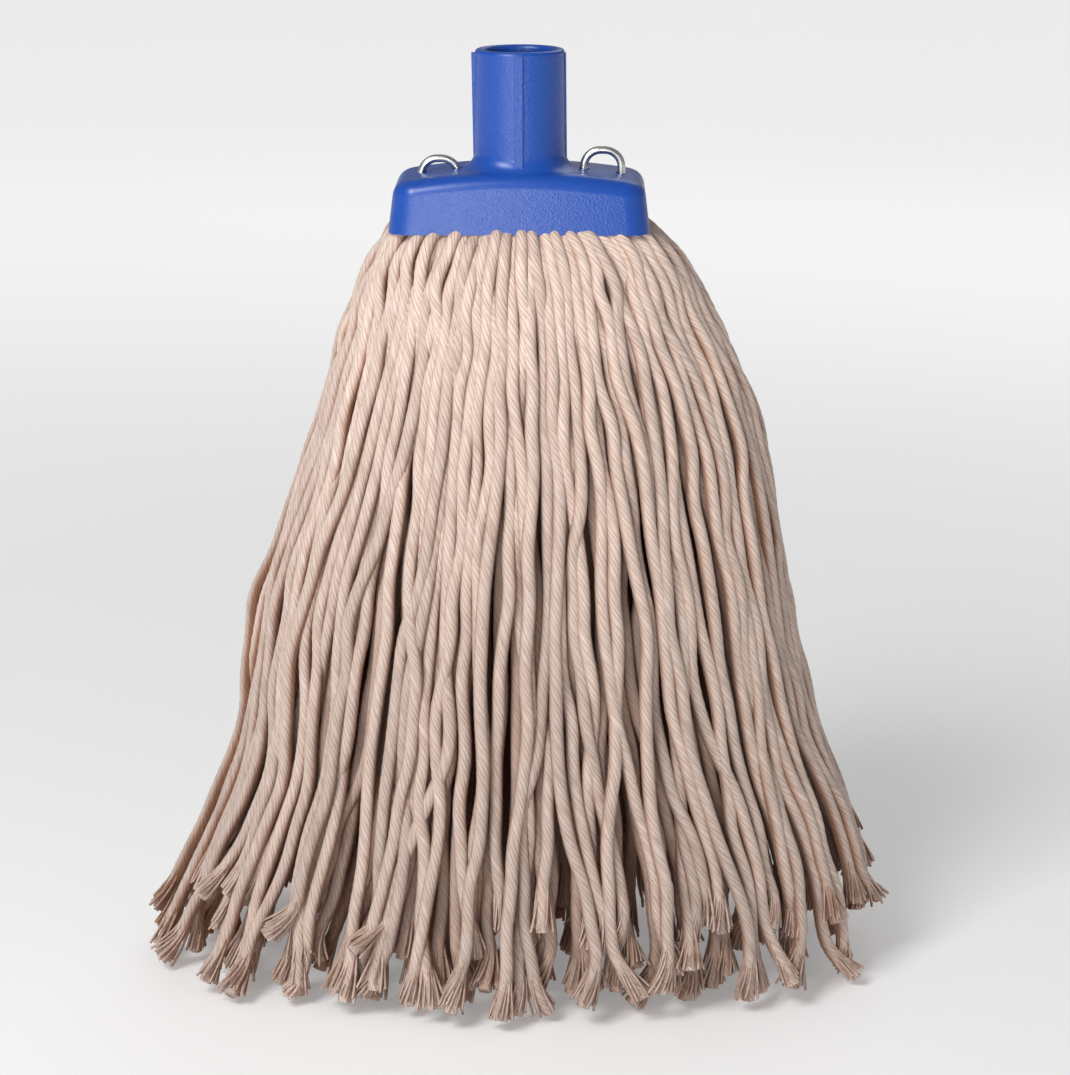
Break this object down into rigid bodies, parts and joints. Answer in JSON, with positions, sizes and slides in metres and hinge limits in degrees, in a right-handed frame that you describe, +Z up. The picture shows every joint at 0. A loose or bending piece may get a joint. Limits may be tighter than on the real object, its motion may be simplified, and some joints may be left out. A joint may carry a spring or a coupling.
{
  "type": "string mop head",
  "caption": "Oblong plastic mop head with a round handle socket, wire staples on top and a bell of hanging twisted cotton strings.",
  "frame": {"origin": "on the floor, under the handle socket's axis, with the mop standing on its strings", "axes": "+Z up along the handle socket, +X along the head's long side, -Y towards the front"},
  "size_m": [0.2764, 0.1542, 0.341],
  "materials": {
    "shell": "moulded blue plastic, finely textured on its flat sides",
    "wire": "bright drawn wire",
    "string": "natural twisted cotton"
  },
  "bodies": {
    "head": {"core_front_left": "string", "core_front_left_end": "string", "core_front_right": "string", "core_front_right_end": "string", "core_rear_left": "string", "core_rear_left_end": "string", "core_rear_right": "string", "core_rear_right_end": "string", "head_shell": "shell", "staple_left": "wire", "staple_right": "wire", "string_fold_left": "string", "string_fold_right": "string"},
    "lock_front_1": {"lock_front_1": "string"},
    "lock_front_2": {"lock_front_2": "string"},
    "lock_front_3": {"lock_front_3": "string"},
    "lock_front_4": {"lock_front_4": "string"},
    "lock_front_left": {"lock_front_left": "string"},
    "lock_front_right": {"lock_front_right": "string"},
    "lock_left": {"lock_left": "string"},
    "lock_rear_1": {"lock_rear_1": "string"},
    "lock_rear_2": {"lock_rear_2": "string"},
    "lock_rear_3": {"lock_rear_3": "string"},
    "lock_rear_4": {"lock_rear_4": "string"},
    "lock_rear_left": {"lock_rear_left": "string"},
    "lock_rear_right": {"lock_rear_right": "string"},
    "lock_right": {"lock_right": "string"}
  },
  "joints": [
    {"name": "lock_front_1_swing", "type": "hinge", "parent": "head", "child": "lock_front_1", "pos_m": [-0.02525, -0.02278, 0.269], "axis": [-0.6698, 0.7425, 0], "range_deg": [0, 55]},
    {"name": "lock_front_2_swing", "type": "hinge", "parent": "head", "child": "lock_front_2", "pos_m": [-0.00855, -0.02636, 0.269], "axis": [-0.9512, 0.3084, 0], "range_deg": [0, 80]},
    {"name": "lock_front_3_swing", "type": "hinge", "parent": "head", "child": "lock_front_3", "pos_m": [0.00855, -0.02636, 0.269], "axis": [-0.9512, -0.3084, 0], "range_deg": [0, 80]},
    {"name": "lock_front_4_swing", "type": "hinge", "parent": "head", "child": "lock_front_4", "pos_m": [0.02525, -0.02278, 0.269], "axis": [-0.6698, -0.7425, 0], "range_deg": [0, 55]},
    {"name": "lock_front_left_swing", "type": "hinge", "parent": "head", "child": "lock_front_left", "pos_m": [-0.0402, -0.01464, 0.269], "axis": [-0.3421, 0.9397, 0], "range_deg": [0, 55]},
    {"name": "lock_front_right_swing", "type": "hinge", "parent": "head", "child": "lock_front_right", "pos_m": [0.0402, -0.01464, 0.269], "axis": [-0.3421, -0.9397, 0], "range_deg": [0, 55]},
    {"name": "lock_left_swing", "type": "hinge", "parent": "head", "child": "lock_left", "pos_m": [-0.048, 0, 0.269], "axis": [0, 1, 0], "range_deg": [0, 80]},
    {"name": "lock_rear_1_swing", "type": "hinge", "parent": "head", "child": "lock_rear_1", "pos_m": [0.02525, 0.02278, 0.269], "axis": [0.6698, -0.7425, 0], "range_deg": [0, 55]},
    {"name": "lock_rear_2_swing", "type": "hinge", "parent": "head", "child": "lock_rear_2", "pos_m": [0.00855, 0.02636, 0.269], "axis": [0.9512, -0.3084, 0], "range_deg": [0, 80]},
    {"name": "lock_rear_3_swing", "type": "hinge", "parent": "head", "child": "lock_rear_3", "pos_m": [-0.00855, 0.02636, 0.269], "axis": [0.9512, 0.3084, 0], "range_deg": [0, 80]},
    {"name": "lock_rear_4_swing", "type": "hinge", "parent": "head", "child": "lock_rear_4", "pos_m": [-0.02525, 0.02278, 0.269], "axis": [0.6698, 0.7425, 0], "range_deg": [0, 55]},
    {"name": "lock_rear_left_swing", "type": "hinge", "parent": "head", "child": "lock_rear_left", "pos_m": [-0.0402, 0.01464, 0.269], "axis": [0.3421, 0.9397, 0], "range_deg": [0, 55]},
    {"name": "lock_rear_right_swing", "type": "hinge", "parent": "head", "child": "lock_rear_right", "pos_m": [0.0402, 0.01464, 0.269], "axis": [0.3421, -0.9397, 0], "range_deg": [0, 55]},
    {"name": "lock_right_swing", "type": "hinge", "parent": "head", "child": "lock_right", "pos_m": [0.048, 0, 0.269], "axis": [0, -1, 0], "range_deg": [0, 80]}
  ]
}
